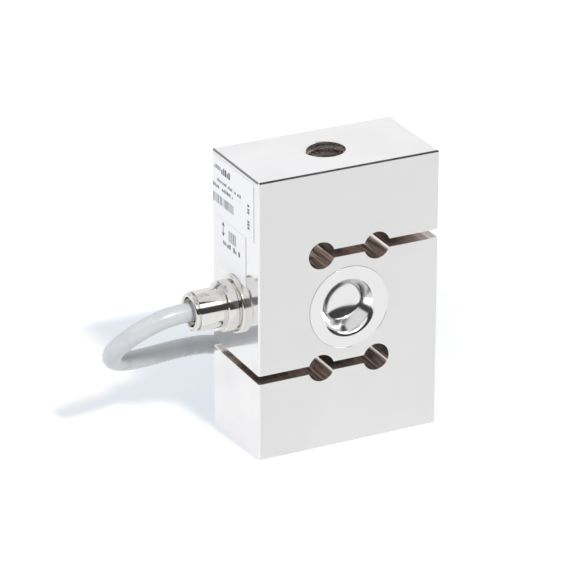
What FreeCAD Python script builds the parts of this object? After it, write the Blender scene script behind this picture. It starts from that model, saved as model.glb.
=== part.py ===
"""S-type load cell: a slotted steel spring body with a sealed gauge bore, a cable gland and a tied lead.

Millimetres. X is across the front face, Y runs from the front to the back, Z is up. The origin is the
mouth of the lower thread, in the middle of the base.
"""
import FreeCAD, Part

import math
import os

import Sketcher

from FreeCAD import Placement, Rotation, Vector

doc = FreeCAD.newDocument("s_type_load_cell")

# ---------------------------------------------------------------------------------------------------
# Driving dimensions
# ---------------------------------------------------------------------------------------------------
SIZES = {
    # spring body
    "block_width": 50.8,
    "block_depth": 27.0,
    "block_height": 76.2,
    "edge_chamfer": 0.4,
    "thread_radius": 6.0,
    "thread_deep": 15.0,
    "drill_tip": 3.4,
    # the two slots of the S, each with a hole at either end of its thin beam
    "slot_rise": 15.5,
    "slot_gap": 2.3,
    "beam_hole_radius": 3.65,
    "beam_hole_reach": 7.8,
    # the gauge bore, and the two cups that are welded into its ends
    "cup_inner_radius": 7.9,
    "cup_wall": 0.6,
    "cup_deep": 5.0,
    "cup_dish": 0.25,
    "cup_corner": 2.4,
    "cup_lip": 0.55,
    "cup_flange_radius": 11.05,
    "weld_groove": 0.12,
    "cup_clearance": 0.1,
    "seat_clearance": 0.03,
    # gauges and terminal board inside the bore
    "gauge_thick": 0.15,
    "gauge_wide": 6.0,
    "board_width": 10.6,
    "board_long": 12.0,
    "board_thick": 1.0,
    "board_drop": 4.7,
    "pad_width": 3.6,
    "pad_long": 8.0,
    "lead_wire_radius": 0.2,
    "lead_wire_step": 5.0,
    "resistor_width": 1.6,
    "resistor_long": 3.2,
    "resistor_thick": 0.6,
    # cable gland, from the block's left face outwards; its axis is a little above the block's middle
    "gland_rise": 0.65,
    "shank_radius": 5.0,
    "shank_long": 7.0,
    "shank_clearance": 0.05,
    "port_relief": 0.5,
    "seal_ring_radius": 5.5,
    "seal_ring_wide": 0.9,
    "seal_ring_thick": 0.7,
    "flange_radius": 7.6,
    "flange_thick": 1.3,
    "flange_round": 0.45,
    "neck_radius": 6.0,
    "neck_long": 0.4,
    "grip_radius": 6.6,
    "grip_long": 3.1,
    "grip_flats": 12.5,
    "grip_chamfer": 0.25,
    "cavity_radius": 4.0,
    "cavity_floor": 3.0,
    "grommet_long": 5.5,
    "washer_thick": 1.0,
    "first_step_radius": 5.9,
    "first_step_long": 0.3,
    "second_step_radius": 5.6,
    "second_step_long": 0.3,
    "sleeve_radius": 5.3,
    "sleeve_long": 6.4,
    "lip_groove_radius": 4.6,
    "lip_groove_long": 0.3,
    "lip_radius": 5.0,
    "lip_long": 0.9,
    "lip_round": 0.5,
    "lip_back_round": 0.2,
    "mouth_radius": 3.8,
    "mouth_deep": 3.2,
    "mouth_round": 0.4,
    # cable
    "cable_radius": 2.5,
    "cable_clearance": 0.2,
    "jacket_end": 1.0,
    "core_radius": 0.45,
    "core_step": 1.1,
    "core_stagger": 0.9,
    "core_reach": 2.2,
    # labels on the left face
    "label_thick": 0.15,
    "label_gap": 0.1,
    "type_label_top_margin": 1.1,
    "type_label_front_margin": 2.5,
    "type_label_back_margin": 0.5,
    "type_label_height": 15.8,
    "serial_label_front_margin": 7.2,
    "serial_label_back_margin": 2.6,
    "serial_label_lift": 6.85,
    # the tied hank of spare cable behind the block
    "hank_x": 14.0,
    "hank_y": 41.0,
    "hank_straight": 40.0,
    "hank_inner_bend": 10.0,
    "hank_edge": 2.2,
    "tie_thick": 0.8,
    "tie_width": 2.5,
    "tie_head": 4.0,
    "tie_head_deep": 3.0,
    "right_tie_along": 14.0,
    "left_tie_along": 34.0,
    "tail_end_along": 19.0,
    "tail_clearance": 0.05,
    "end_sleeve_radius": 2.9,
    "end_sleeve_long": 12.0,
    "end_sleeve_overlap": 6.0,
    "wire_radius": 0.6,
    "drain_radius": 0.4,
    "ferrule_radius": 0.85,
    "ferrule_long": 7.0,
    "ferrule_overlap": 3.0,
}
# Degrees, and how many strands of the cable lie side by side and on each other in the hank.
ANGLES = {"gauge_arc": 26.0, "grip_flats_turned": 24.0, "hank_turned": 65.0}
STRANDS = {"hank_across": 3, "hank_layers": 5}
SHEET = {**SIZES, **ANGLES, **STRANDS}

dims = doc.addObject("Spreadsheet::Sheet", "Dims")
for row, (alias, value) in enumerate(SHEET.items(), start=1):
    dims.set(f"A{row}", alias)
    dims.set(f"B{row}", str(value))
    dims.setAlias(f"B{row}", alias)
doc.recompute()


def size(terms):
    """The sum of the named sizes, such as "block_width/2 -cup_wall"."""
    total = 0.0
    for term in terms.split():
        name, _, share = term.lstrip("-").partition("/")
        value = SHEET[name] / float(share or 1)
        total += -value if term.startswith("-") else value
    return total


def formula(terms):
    """The same sum as an expression on the sheet's cells."""
    signed = [f"- Dims.{t[1:]}" if t[0] == "-" else f"+ Dims.{t}" for t in terms.split()]
    return " ".join(signed).lstrip("+ ")


# ---------------------------------------------------------------------------------------------------
# Small helpers for sketches and features
# ---------------------------------------------------------------------------------------------------
def body_named(label):
    body = doc.addObject("PartDesign::Body", label)
    body.Label = label
    return body


def sketch_on(body, name, plane, places, turned=0.0):
    """A sketch on an origin plane of its own body; places are expressions for its origin's x, y and z."""
    sketch = body.newObject("Sketcher::SketchObject", name)
    origin = next(f for f in body.Origin.OriginFeatures if f.Role == plane)
    sketch.AttachmentSupport = [(origin, "")]
    sketch.MapMode = "FlatFace"
    sketch.AttachmentOffset = Placement(Vector(0, 0, 0), Rotation(Vector(0, 0, 1), turned))
    for axis, expression in places.items():
        sketch.setExpression(f"AttachmentOffset.Base.{axis}", expression)
    return sketch


def bound(sketch, kind, places, value, expression):
    """A dimension whose value comes from the sheet."""
    index = sketch.addConstraint(Sketcher.Constraint(kind, *places, value))
    sketch.renameConstraint(index, f"size_{index}")
    sketch.setExpression(f"Constraints.size_{index}", expression)


def outline(sketch, corners):
    """A closed outline of straight edges; each corner is a pair of sums of sizes, measured from the origin."""
    points = [Vector(size(along), size(out), 0) for along, out in corners]
    count = len(points)
    for i in range(count):
        sketch.addGeometry(Part.LineSegment(points[i], points[(i + 1) % count]), False)
    for i in range(count):
        sketch.addConstraint(Sketcher.Constraint("Coincident", i, 2, (i + 1) % count, 1))
    for i, (along, out) in enumerate(corners):
        for kind, terms, line in (("DistanceX", along, -2), ("DistanceY", out, -1)):
            if terms:
                bound(sketch, kind, (-1, 1, i, 1), size(terms), formula(terms))
            else:
                sketch.addConstraint(Sketcher.Constraint("PointOnObject", i, 1, line))


def centred_circle(sketch, terms):
    """A circle about the sketch's origin."""
    at = sketch.addGeometry(Part.Circle(Vector(0, 0, 0), Vector(0, 0, 1), size(terms)), False)
    sketch.addConstraint(Sketcher.Constraint("Coincident", at, 3, -1, 1))
    bound(sketch, "Radius", (at,), size(terms), formula(terms))


def centred_rectangle(sketch, across, up):
    """A rectangle about the sketch's origin, its sides given as sums of sizes."""
    x, y = size(across) / 2, size(up) / 2
    points = [Vector(-x, -y, 0), Vector(x, -y, 0), Vector(x, y, 0), Vector(-x, y, 0)]
    for i in range(4):
        sketch.addGeometry(Part.LineSegment(points[i], points[(i + 1) % 4]), False)
    for i in range(4):
        sketch.addConstraint(Sketcher.Constraint("Coincident", i, 2, (i + 1) % 4, 1))
        sketch.addConstraint(Sketcher.Constraint("Vertical" if i % 2 else "Horizontal", i))
    sketch.addConstraint(Sketcher.Constraint("Symmetric", 0, 1, 2, 1, -1, 1))
    bound(sketch, "DistanceX", (0, 1, 0, 2), 2 * x, formula(across))
    bound(sketch, "DistanceY", (1, 1, 1, 2), 2 * y, formula(up))


def feature(body, kind, name, sketch, **settings):
    """A sketched feature of a body. A setting given as text is an expression on the sheet."""
    made = body.newObject(f"PartDesign::{kind}", name)
    made.Profile = sketch
    for key, value in settings.items():
        if isinstance(value, str) and key in ("Length", "Angle"):
            made.setExpression(key, value)
        else:
            setattr(made, key, value)
    sketch.Visibility = False
    doc.recompute()
    return made


def turned(label, plane, places, corners, turned_by=0.0):
    """A body turned about its profile's own horizontal axis."""
    body = body_named(label)
    sketch = sketch_on(body, f"{label}_profile", plane, places, turned_by)
    outline(sketch, corners)
    about = (sketch, ["H_Axis"])
    feature(body, "Revolution", f"{label}_turning", sketch, ReferenceAxis=about, Angle=360.0)
    return body


def dress(body, kind, name, key, terms, wanted):
    """A fillet or chamfer on the edges of the body's tip that the test picks out."""
    tip = body.Tip
    edges = [f"Edge{i + 1}" for i, edge in enumerate(tip.Shape.Edges) if wanted(edge)]
    if not edges:
        raise RuntimeError(f"{name} found no edge")
    made = body.newObject(f"PartDesign::{kind}", name)
    made.Base = (tip, edges)
    made.setExpression(key, formula(terms))
    doc.recompute()
    return made


def ring_edge(axis, place, radius):
    """Picks the circle of that radius that lies at that place along an axis, 0 for X, 1 for Y."""

    def wanted(edge):
        curve = edge.Curve
        near = isinstance(curve, Part.Circle) and abs(curve.Radius - radius) < 0.001
        return near and abs(curve.Center[axis] - place) < 0.001

    return wanted


def primitive(kind, name, sizes, placement=None):
    """A Part primitive whose properties are expressions on the sheet, or plain numbers."""
    made = doc.addObject(f"Part::{kind}", name)
    for key, value in sizes.items():
        if isinstance(value, str):
            made.setExpression(key, value)
        else:
            setattr(made, key, value)
    if placement:
        made.Placement = placement
    return made


def placed(made, **expressions):
    """Binds the place of a primitive to the sheet."""
    for axis, expression in expressions.items():
        made.setExpression(f"Placement.Base.{axis}", expression)
    return made


def solid_feature(label, shape, placement=None):
    """A sub-part whose shape is worked out here from the sheet's sizes."""
    made = doc.addObject("Part::Feature", label)
    made.Label = label
    made.Shape = shape
    made.Placement = placement or Placement()
    return made


MID = "Dims.block_height / 2"
GLAND_AXIS = f"{MID} + Dims.gland_rise"
LEFT = "-Dims.block_width / 2"
mid_z = size("block_height/2")
gland_z = mid_z + size("gland_rise")
left_x = -size("block_width/2")
half_depth = size("block_depth/2")

# ---------------------------------------------------------------------------------------------------
# Spring body: one block, cut into an S by two slots
# ---------------------------------------------------------------------------------------------------
def make_spring_body():
    body = body_named("spring_body")
    face = sketch_on(body, "block_outline", "XZ_Plane", {"y": MID})
    centred_rectangle(face, "block_width", "block_height")
    feature(body, "Pad", "block", face, Length="Dims.block_depth", SideType="Symmetric")
    dress(body, "Chamfer", "block_edges", "Size", "edge_chamfer", lambda edge: True)
    cut_bore(body)
    cut_port(body)
    cut_beams(body)
    return body


def cut_bore(body):
    """The gauge bore goes right through; each end has a seat for a cup's flange, with a weld groove."""
    bore = sketch_on(body, "bore_outline", "XZ_Plane", {"y": MID})
    centred_circle(bore, "cup_inner_radius cup_wall cup_clearance")
    feature(body, "Pocket", "gauge_bore", bore, Type="ThroughAll", SideType="Symmetric")
    for name, side in (("front", 1), ("back", -1)):
        lift = f"{side} * Dims.block_depth / 2"
        seat = sketch_on(body, f"{name}_seat_outline", "XZ_Plane", {"y": MID, "z": lift})
        centred_circle(seat, "cup_flange_radius seat_clearance")
        feature(body, "Pocket", f"{name}_seat", seat, Length="Dims.cup_wall", Reversed=side < 0)
        mouth = ring_edge(1, -side * half_depth, size("cup_flange_radius seat_clearance"))
        dress(body, "Chamfer", f"{name}_weld_groove", "Size", "weld_groove", mouth)


def cut_port(body):
    """The gland's threaded port in the left face, and the cable's way on from it into the bore."""
    profile = sketch_on(body, "port_profile", "XZ_Plane", {"x": LEFT, "y": GLAND_AXIS})
    into_bore = "block_width/2 -cup_inner_radius"
    corners = [
        ("", ""),
        ("", "shank_radius shank_clearance"),
        ("shank_long port_relief", "shank_radius shank_clearance"),
        ("shank_long port_relief", "cable_radius cable_clearance"),
        (into_bore, "cable_radius cable_clearance"),
        (into_bore, ""),
    ]
    outline(profile, corners)
    feature(body, "Groove", "gland_port", profile, ReferenceAxis=(profile, ["H_Axis"]), Angle=360.0)


def cut_beams(body):
    """Slot, beam holes and thread of one half; a half turn about the bore's axis makes the other half's."""
    centre = body.getObject("block_outline")
    rise = "Dims.block_height / 2 + Dims.slot_rise"
    reach = "Dims.beam_hole_reach"
    slot = sketch_on(body, "slot_outline", "XZ_Plane", {"x": f"-{reach}", "y": f"{rise} - Dims.slot_gap / 2"})
    run = "block_width/2 beam_hole_reach"
    outline(slot, [("", ""), (run, ""), (run, "slot_gap"), ("", "slot_gap")])
    cuts = [feature(body, "Pocket", "slot", slot, Type="ThroughAll", SideType="Symmetric")]
    for name, across in (("inner_hole", f"-{reach}"), ("outer_hole", reach)):
        hole = sketch_on(body, f"{name}_outline", "XZ_Plane", {"x": across, "y": rise})
        centred_circle(hole, "beam_hole_radius")
        cuts.append(feature(body, "Pocket", name, hole, Type="ThroughAll", SideType="Symmetric"))
    drilled = sketch_on(body, "thread_profile", "XZ_Plane", {})
    outline(
        drilled,
        [
            ("", ""),
            ("thread_radius", ""),
            ("thread_radius", "thread_deep"),
            ("", "thread_deep drill_tip"),
        ],
    )
    about = (drilled, ["V_Axis"])
    cuts.append(feature(body, "Groove", "lower_thread", drilled, ReferenceAxis=about, Angle=360.0))
    turn = body.newObject("PartDesign::PolarPattern", "half_turn")
    turn.Originals = cuts
    turn.Axis = (centre, ["N_Axis"])
    turn.Angle = 360.0
    turn.Occurrences = 2
    body.Tip = turn
    doc.recompute()


# ---------------------------------------------------------------------------------------------------
# Sealing cups, gauges and terminal board in the bore
# ---------------------------------------------------------------------------------------------------
def make_cup(label, side):
    """A drawn cup: flange flush with the block's face, round lip, straight wall, large corner, dished floor."""
    outer = "cup_inner_radius cup_wall"
    corners = [
        ("", "cup_flange_radius"),
        ("cup_wall", "cup_flange_radius"),
        ("cup_wall", outer),
        ("cup_deep cup_wall", outer),
        ("cup_deep cup_wall cup_dish", ""),
        ("cup_deep cup_dish", ""),
        ("cup_deep", "cup_inner_radius"),
        ("", "cup_inner_radius"),
    ]
    place = {"x": f"{side} * Dims.block_depth / 2", "y": MID}
    body = turned(label, "YZ_Plane", place, corners, turned_by=0.0 if side < 0 else 180.0)
    face = side * half_depth
    floor = face - side * size("cup_deep")
    back = floor - side * size("cup_wall")
    dress(body, "Fillet", f"{label}_lip", "Radius", "cup_lip", ring_edge(1, face, size("cup_inner_radius")))
    inside = ring_edge(1, floor, size("cup_inner_radius"))
    dress(body, "Fillet", f"{label}_corner", "Radius", "cup_corner", inside)
    outside = ring_edge(1, back, size(outer))
    dress(body, "Fillet", f"{label}_back_corner", "Radius", "cup_corner cup_wall", outside)
    rim = ring_edge(1, face, size("cup_flange_radius"))
    dress(body, "Chamfer", f"{label}_weld_groove", "Size", "weld_groove", rim)
    return body


def bore_wall_arc(name, radius, start, sweep, length):
    """A sector of a cylinder about the bore's axis, its angle measured from +X towards +Z."""
    about = Rotation(Vector(1, 0, 0), 90) * Rotation(Vector(0, 0, 1), start)
    sector = primitive("Cylinder", name, {"Radius": radius, "Height": length, "Angle": sweep})
    sector.Placement = Placement(Vector(0, 0, 0), about)
    return placed(sector, y=f"{length} / 2", z=MID)


BORE = "(Dims.cup_inner_radius + Dims.cup_wall + Dims.cup_clearance)"
bore_radius = size("cup_inner_radius cup_wall cup_clearance")


def make_gauge(label, angle):
    """A foil gauge on the bore's wall, where the wall to a beam hole is thinnest."""
    start = angle - size("gauge_arc/2")
    long = "Dims.gauge_wide"
    backing = bore_wall_arc(f"{label}_backing", BORE, start, "Dims.gauge_arc", long)
    hollow = bore_wall_arc(f"{label}_hollow", f"{BORE} - Dims.gauge_thick", 0.0, 360.0, long)
    gauge = doc.addObject("Part::Cut", label)
    gauge.Label = label
    gauge.Base, gauge.Tool = backing, hollow
    return gauge


def make_terminal_board():
    board = primitive(
        "Box",
        "terminal_board",
        {"Length": "Dims.board_width", "Width": "Dims.board_long", "Height": "Dims.board_thick"},
    )
    down = f"{MID} - Dims.board_drop - Dims.board_thick"
    return placed(board, x="-Dims.board_width / 2", y="-Dims.board_long / 2", z=down)


def make_board_pad():
    """The rubber pad that the board stands on; its foot has the bore's curve."""
    block = primitive(
        "Box",
        "pad_block",
        {"Length": "Dims.pad_width", "Width": "Dims.pad_long", "Height": BORE},
    )
    top = f"{MID} - Dims.board_drop - Dims.board_thick - {BORE}"
    placed(block, x="-Dims.pad_width / 2", y="-Dims.pad_long / 2", z=top)
    curve = bore_wall_arc("pad_curve", BORE, 0.0, 360.0, "Dims.block_depth")
    pad = doc.addObject("Part::Common", "board_pad")
    pad.Label = "board_pad"
    pad.Base, pad.Tool = block, curve
    return pad


def make_gauge_leads():
    """Two upright wires from each gauge to the board: up from its top, down from its underside."""
    top = mid_z - size("board_drop")
    foot = top - size("board_thick")
    radius, step = size("lead_wire_radius"), size("lead_wire_step")
    across = bore_radius * size("beam_hole_reach") / math.hypot(size("beam_hole_reach"), size("slot_rise"))
    inside = Part.makeCylinder(
        bore_radius - size("gauge_thick"), 2 * step, Vector(0, -step, mid_z), Vector(0, 1, 0)
    )
    wires = []
    for x in (-across, across):
        for y in (-step / 2, step / 2):
            wires.append(Part.makeCylinder(radius, bore_radius * 2, Vector(x, y, top)).common(inside))
            low = Part.makeCylinder(radius, bore_radius, Vector(x, y, foot - bore_radius))
            wires.append(low.common(inside))
    return solid_feature("gauge_leads", Part.makeCompound([w.Solids[0] for w in wires]))


def make_trim_resistors():
    """The two resistors that set the cell's zero and its span, on the board."""
    long, width, thick = size("resistor_long"), size("resistor_width"), size("resistor_thick")
    top = mid_z - size("board_drop")
    out = size("board_long/2") - 1.5 * width
    chips = [Part.makeBox(long, width, thick, Vector(-long / 2, y - width / 2, top)) for y in (-out, out)]
    return solid_feature("trim_resistors", Part.makeCompound(chips))


# ---------------------------------------------------------------------------------------------------
# Cable gland on the left face
# ---------------------------------------------------------------------------------------------------
GRIP_FOOT = "flange_thick neck_long"
GRIP_END = f"{GRIP_FOOT} grip_long"
NOSE = f"shank_long {GRIP_END} -cavity_floor -grommet_long -washer_thick"
STEPS = "first_step_long second_step_long"
PROUD = f"{GRIP_END} {STEPS} sleeve_long lip_groove_long lip_long"
CABLE_HOLE = "cable_radius cable_clearance"
SLEEVE_NOSE = "cavity_radius -shank_clearance"
O_RING_OUTSIDE = "seal_ring_radius seal_ring_wide"
GROMMET_FOOT = "shank_long -cavity_floor"
WASHER_FOOT = f"{GROMMET_FOOT} -grommet_long"


def gland_place(inward):
    """A sketch place on the gland's axis, a sum of sizes inside the block's left face, facing outwards."""
    return {"x": f"{LEFT} + ({formula(inward)})" if inward else LEFT, "y": GLAND_AXIS}


def make_gland_body():
    far = f"shank_long {GRIP_END}"
    corners = [
        ("", CABLE_HOLE),
        ("", "shank_radius"),
        ("shank_long", "shank_radius"),
        ("shank_long", "seal_ring_radius"),
        ("shank_long seal_ring_thick", "seal_ring_radius"),
        ("shank_long seal_ring_thick", O_RING_OUTSIDE),
        ("shank_long", O_RING_OUTSIDE),
        ("shank_long", "flange_radius"),
        ("shank_long flange_thick", "flange_radius"),
        ("shank_long flange_thick", "neck_radius"),
        (f"shank_long {GRIP_FOOT}", "neck_radius"),
        (f"shank_long {GRIP_FOOT}", "grip_radius"),
        (far, "grip_radius"),
        (far, "cavity_radius"),
        ("cavity_floor", "cavity_radius"),
        ("cavity_floor", CABLE_HOLE),
    ]
    body = turned("gland_body", "XZ_Plane", gland_place("shank_long"), corners, turned_by=180.0)
    rim = ring_edge(0, left_x - size("flange_thick"), size("flange_radius"))
    dress(body, "Fillet", "flange_edge", "Radius", "flange_round", rim)
    for name, end in (("grip_near", GRIP_FOOT), ("grip_far", GRIP_END)):
        edge = ring_edge(0, left_x - size(end), size("grip_radius"))
        dress(body, "Chamfer", f"{name}_edge", "Size", "grip_chamfer", edge)
    outward = f"{LEFT} - ({formula(GRIP_FOOT)})"
    cuts = []
    flats_turned = size("grip_flats_turned")
    for name, turn in (("upper_flat", flats_turned), ("lower_flat", flats_turned + 180.0)):
        flat = sketch_on(body, f"{name}_outline", "YZ_Plane", {"y": GLAND_AXIS, "z": outward}, turn)
        low, high, wide = "grip_flats/2", "grip_radius grip_chamfer", "grip_radius"
        outline(flat, [("", low), (wide, low), (wide, high), ("", high)])
        cuts.append(feature(body, "Pocket", name, flat, Length="Dims.grip_long"))
        mirror = body.newObject("PartDesign::Mirrored", f"{name}_other_half")
        mirror.Originals = [cuts[-1]]
        mirror.MirrorPlane = (flat, ["V_Axis"])
        body.Tip = mirror
        doc.recompute()
    return body


def make_gland_sleeve():
    nose = SLEEVE_NOSE
    first = f"{NOSE} first_step_long"
    second = f"{NOSE} {STEPS}"
    neck = f"{second} sleeve_long"
    lip = f"{neck} lip_groove_long"
    end = f"{lip} lip_long"
    corners = [
        ("", CABLE_HOLE),
        ("", nose),
        (NOSE, nose),
        (NOSE, "first_step_radius"),
        (first, "first_step_radius"),
        (first, "second_step_radius"),
        (second, "second_step_radius"),
        (second, "sleeve_radius"),
        (neck, "sleeve_radius"),
        (neck, "lip_groove_radius"),
        (lip, "lip_groove_radius"),
        (lip, "lip_radius"),
        (end, "lip_radius"),
        (end, "mouth_radius"),
        (f"{end} -mouth_deep", "mouth_radius"),
        (f"{end} -mouth_deep", CABLE_HOLE),
    ]
    place = gland_place(f"{WASHER_FOOT} -washer_thick")
    body = turned("gland_sleeve", "XZ_Plane", place, corners, turned_by=180.0)
    far = left_x - size(PROUD)
    near = far + size("lip_long")
    dress(body, "Fillet", "mouth_edge", "Radius", "mouth_round", ring_edge(0, far, size("mouth_radius")))
    dress(body, "Fillet", "lip_far_round", "Radius", "lip_round", ring_edge(0, far, size("lip_radius")))
    back = ring_edge(0, near, size("lip_radius"))
    dress(body, "Fillet", "lip_back_round", "Radius", "lip_back_round", back)
    return body


def make_ring(label, inward, long, hole, outside):
    """A plain ring on the gland's axis."""
    corners = [("", hole), ("", outside), (long, outside), (long, hole)]
    return turned(label, "XZ_Plane", gland_place(inward), corners, turned_by=180.0)


def make_inner_cable():
    """The cable's jacket from the gland's mouth into the bore."""
    inner_end = f"({BORE} - Dims.jacket_end)"
    cable = primitive(
        "Cylinder",
        "cable_inner",
        {
            "Radius": "Dims.cable_radius",
            "Height": f"Dims.block_width / 2 + ({formula(PROUD)}) - {inner_end}",
        },
        Placement(Vector(0, 0, 0), Rotation(Vector(0, 1, 0), 90)),
    )
    return placed(cable, x=f"{LEFT} - ({formula(PROUD)})", z=GLAND_AXIS)


# ---------------------------------------------------------------------------------------------------
# Routes: straight runs joined by tangent arcs
# ---------------------------------------------------------------------------------------------------
ARC_SHARE = 0.45


def rounded_path(points):
    """The wire through a route's points, its corners rounded, and the radii of the arcs."""
    edges, radii, last = [], [], points[0]
    for before, corner, after in zip(points, points[1:], points[2:]):
        back, ahead = before - corner, after - corner
        reach = ARC_SHARE * min(back.Length, ahead.Length)
        back.normalize()
        ahead.normalize()
        half_turn = (math.pi - back.getAngle(ahead)) / 2
        radius = reach / math.tan(half_turn)
        middle_way = (back + ahead).normalize()
        start, end = corner + back * reach, corner + ahead * reach
        middle = corner + middle_way * (radius / math.cos(half_turn) - radius)
        edges += [Part.LineSegment(last, start).toShape(), Part.Arc(start, middle, end).toShape()]
        radii.append(radius)
        last = end
    edges.append(Part.LineSegment(last, points[-1]).toShape())
    return Part.Wire(edges), radii


def tube(points, radius, label=""):
    """A round tube along a route; its volume has to be its section times its length."""
    path, radii = rounded_path(points)
    section = Part.Wire([Part.makeCircle(radius, points[0], points[1] - points[0])])
    shape = path.makePipeShell([section], True, True)
    share = shape.Volume / (math.pi * radius**2 * path.Length)
    if label:
        rounded = " ".join(f"{r:.1f}" for r in radii)
        print(f"{label}: {path.Length:.1f} mm, volume share {share:.4f}, radii {rounded}")
    if abs(share - 1) > 0.01:
        raise RuntimeError(f"a tube of {path.Length:.1f} mm has {share:.3f} of its volume")
    return shape


def make_inner_cores():
    """Four cores from the jacket's end to the board, bent down one after another."""
    start = -bore_radius + size("jacket_end")
    top = mid_z - size("board_drop")
    cores = []
    for i in range(4):
        y = (i - 1.5) * size("core_step")
        x = start + size("core_reach") + i * size("core_stagger")
        route = [Vector(start, y, gland_z), Vector(x, y, gland_z), Vector(x, y, top)]
        cores.append(tube(route, size("core_radius")))
    return solid_feature("inner_cores", Part.makeCompound(cores))


# ---------------------------------------------------------------------------------------------------
# Labels
# ---------------------------------------------------------------------------------------------------
def label_plate(name, label, foot, height):
    """A plate on the left face, between the label's margins to the front and back faces."""
    front, back = f"Dims.{label}_front_margin", f"Dims.{label}_back_margin"
    plate = primitive(
        "Box",
        name,
        {
            "Length": "Dims.label_thick",
            "Width": f"Dims.block_depth - {front} - {back}",
            "Height": height,
        },
    )
    return placed(plate, x=f"{LEFT} - Dims.label_thick", y=f"{front} - Dims.block_depth / 2", z=foot)


TYPE_LABEL_FOOT = "(Dims.block_height - Dims.type_label_top_margin - Dims.type_label_height)"


def make_type_label():
    return label_plate("type_label", "type_label", TYPE_LABEL_FOOT, "Dims.type_label_height")


def make_serial_label():
    """The lower label fills the height up to the upper one, and is cut round the gland's flange."""
    foot = f"{GLAND_AXIS} + Dims.serial_label_lift"
    height = f"{TYPE_LABEL_FOOT} - Dims.label_gap - ({foot})"
    plate = label_plate("serial_plate", "serial_label", foot, height)
    around = primitive(
        "Cylinder",
        "flange_room",
        {"Radius": "Dims.flange_radius + Dims.label_gap", "Height": "3 * Dims.label_thick"},
        Placement(Vector(0, 0, 0), Rotation(Vector(0, 1, 0), 90)),
    )
    placed(around, x=f"{LEFT} - 2 * Dims.label_thick", z=GLAND_AXIS)
    label = doc.addObject("Part::Cut", "serial_label")
    label.Label = "serial_label"
    label.Base, label.Tool = plate, around
    return label


# ---------------------------------------------------------------------------------------------------
# The lead and its tied hank
# ---------------------------------------------------------------------------------------------------
LEAD_ROUTE = [
    (-38.4, 0.0, 38.75),
    (-43.3, 0.0, 38.75),
    (-48.5, 0.5, 37.1),
    (-53.0, 2.3, 34.2),
    (-56.0, 5.2, 30.4),
    (-56.4, 8.4, 26.6),
    (-54.0, 11.8, 23.4),
    (-48.6, 14.8, 21.2),
    (-41.0, 17.6, 20.0),
    (-32.0, 19.8, 19.4),
    (-23.0, 21.2, 18.4),
    (-14.5, 21.3, 15.0),
    (-7.0, 21.2, 10.0),
    (-0.5, 21.1, 6.0),
    (6.0, 21.0, 3.9),
    (14.0, 21.0, 3.3),
]
JOIN_AFTER = 11

along = Vector(math.cos(math.radians(size("hank_turned"))), math.sin(math.radians(size("hank_turned"))), 0)
left = Vector(-along.y, along.x, 0)
near_end = Vector(size("hank_x"), size("hank_y"), 0)
straight = size("hank_straight")
cable_radius = size("cable_radius")
middle_bend = size("hank_inner_bend") + (size("hank_across") - 1) * cable_radius
bundle_half = size("hank_across") * cable_radius
hank_foot = size("tie_thick")
hank_top = hank_foot + 2 * cable_radius * size("hank_layers")
tail_z = hank_top + size("tail_clearance end_sleeve_radius")


def on_hank(forward, sideways, height):
    """A point of the hank's own frame: along its runs, to the left of its middle line, and up."""
    place = near_end + along * forward + left * sideways
    return Vector(place.x, place.y, height)


def on_near_bend(angle, radius, height):
    """A point of the hank's near bend; the angle runs from its left side round to its right."""
    turn = math.radians(angle)
    return on_hank(-radius * math.sin(turn), radius * math.cos(turn), height)


def stadium(radius):
    """The oval outline about the hank's two bend centres."""
    right_near, right_far = on_hank(0, -radius, hank_foot), on_hank(straight, -radius, hank_foot)
    left_near, left_far = on_hank(0, radius, hank_foot), on_hank(straight, radius, hank_foot)
    edges = [
        Part.LineSegment(right_near, right_far).toShape(),
        Part.Arc(right_far, on_hank(straight + radius, 0, hank_foot), left_far).toShape(),
        Part.LineSegment(left_far, left_near).toShape(),
        Part.Arc(left_near, on_hank(-radius, 0, hank_foot), right_near).toShape(),
    ]
    return Part.Face(Part.Wire(edges))


def make_lead():
    route = [Vector(*p) for p in LEAD_ROUTE]
    join = (route[JOIN_AFTER] + route[JOIN_AFTER + 1]) * 0.5
    lead = solid_feature("cable_lead", tube(route[: JOIN_AFTER + 1] + [join], cable_radius, "lead"))
    inlet = tube([join] + route[JOIN_AFTER + 1 :], cable_radius, "inlet")
    ring = stadium(middle_bend + bundle_half).cut(stadium(middle_bend - bundle_half))
    ring = ring.extrude(Vector(0, 0, hank_top - hank_foot))
    flat = [e for e in ring.Edges if abs(e.BoundBox.ZMax - e.BoundBox.ZMin) < 0.001]
    ring = ring.makeFillet(size("hank_edge"), flat)
    hank = solid_feature("cable_hank", ring.fuse(inlet).removeSplitter())
    return lead, hank


# The tail's rise out of the hank: the angle on the near bend, then how far it is inside the middle
# strand and how far below its own place on the hank's top, both in cable radii.
TAIL_RISE = [(40.0, 1.0, 2.78), (85.0, 0.72, 1.78), (130.0, 0.32, 0.32)]
TAIL_BEND_ANGLES = (30.0, 75.0, 120.0)
TAIL_LEAN = 0.2


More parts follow.
